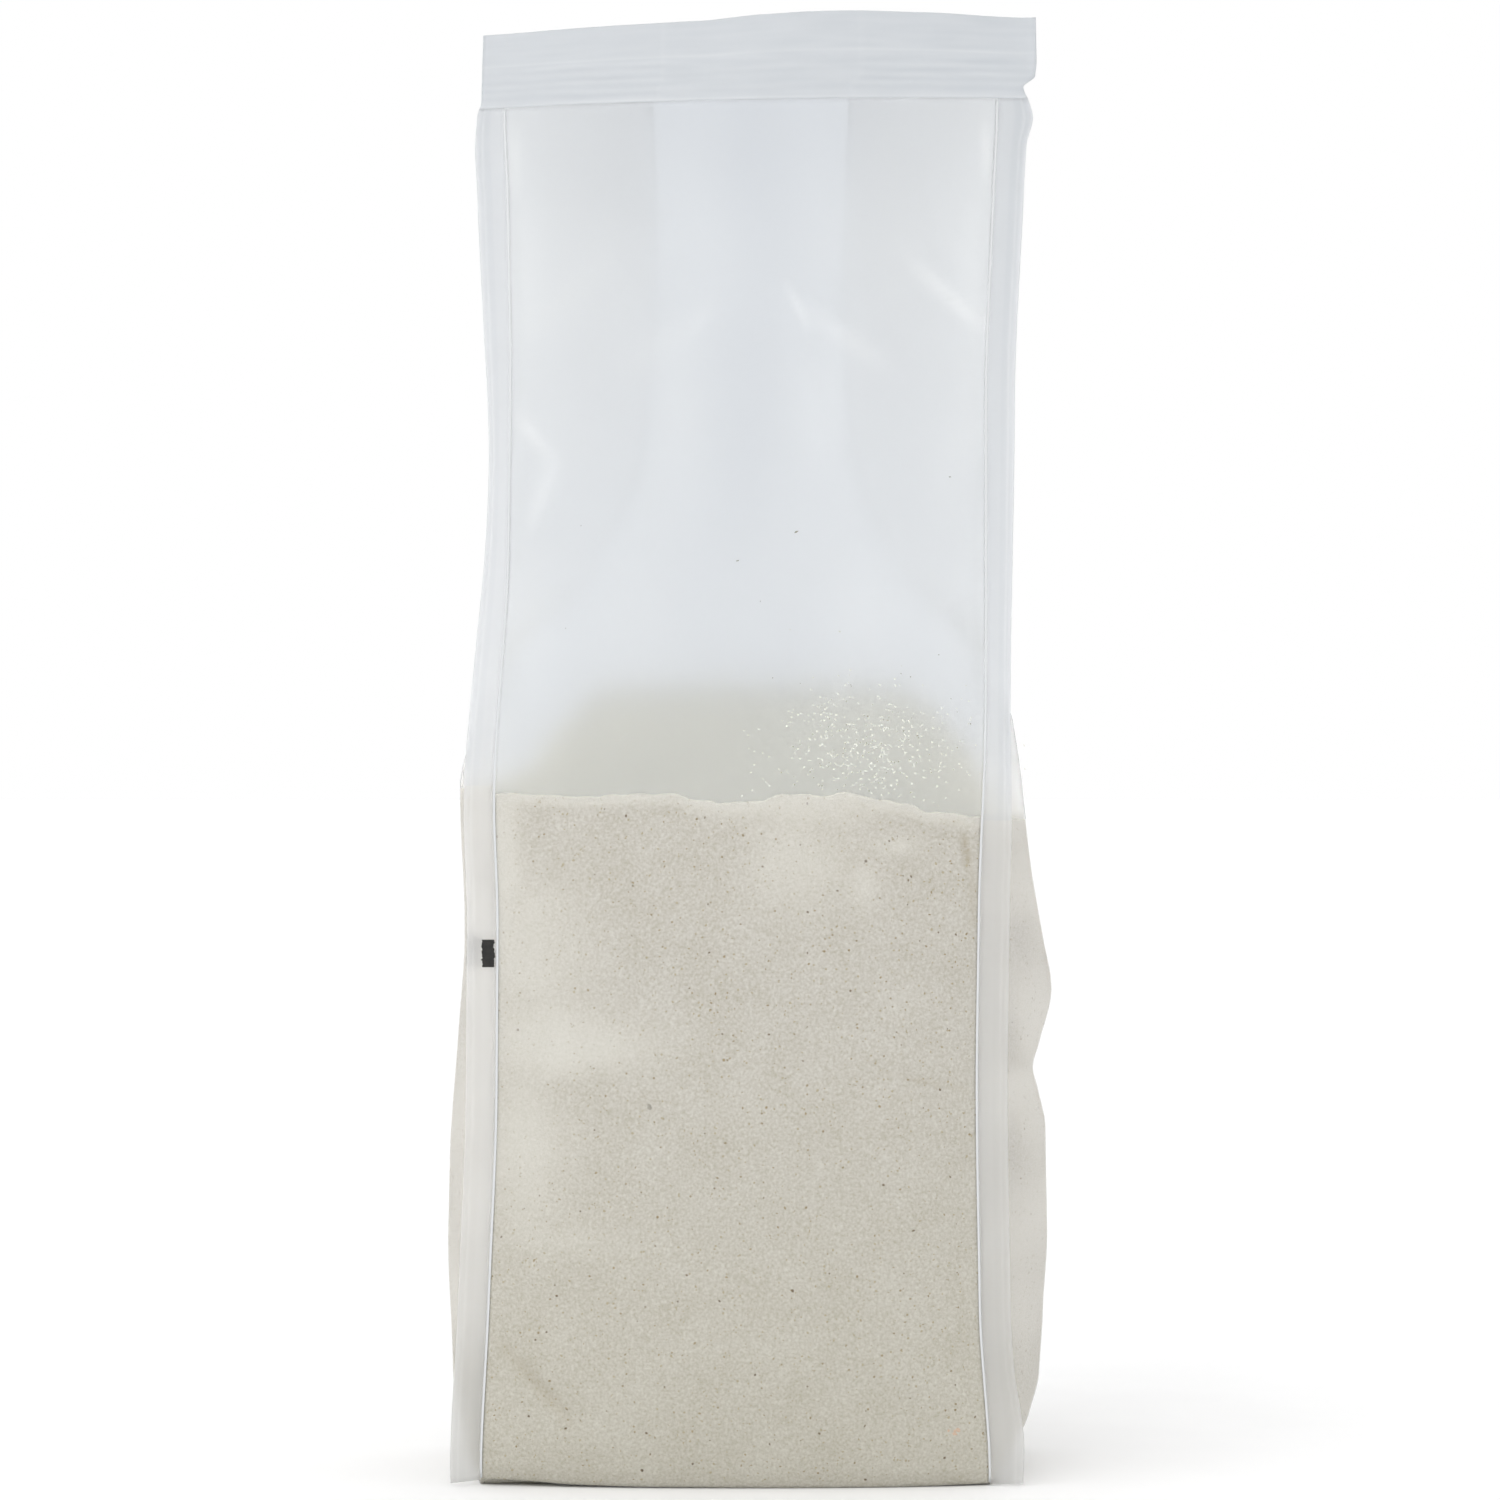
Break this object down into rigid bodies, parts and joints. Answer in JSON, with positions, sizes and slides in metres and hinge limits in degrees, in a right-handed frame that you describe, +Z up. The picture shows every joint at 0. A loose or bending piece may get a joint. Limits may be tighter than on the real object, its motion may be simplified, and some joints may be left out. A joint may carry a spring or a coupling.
{
  "type": "bag of flour",
  "caption": "Clear film block-bottom bag of whole-grain flour standing upright, with fin-sealed corners, folded side gussets, an empty upper part and a ribbed heat seal across the top.",
  "frame": {"origin": "centre of the outer box at the base, on the surface that the bag stands on", "axes": "+Z up along the bag's height, +X across the front panel to its right as seen from the front, and the front panel faces -Y"},
  "size_m": [0.1491, 0.0836, 0.3593],
  "materials": {
    "film": "milky clear packing film, satin",
    "flour": "cream whole-grain flour with bran specks, dead matte",
    "print": "black printed cutting mark"
  },
  "bodies": {
    "root": {"flour_bag": "film"}
  },
  "joints": []
}
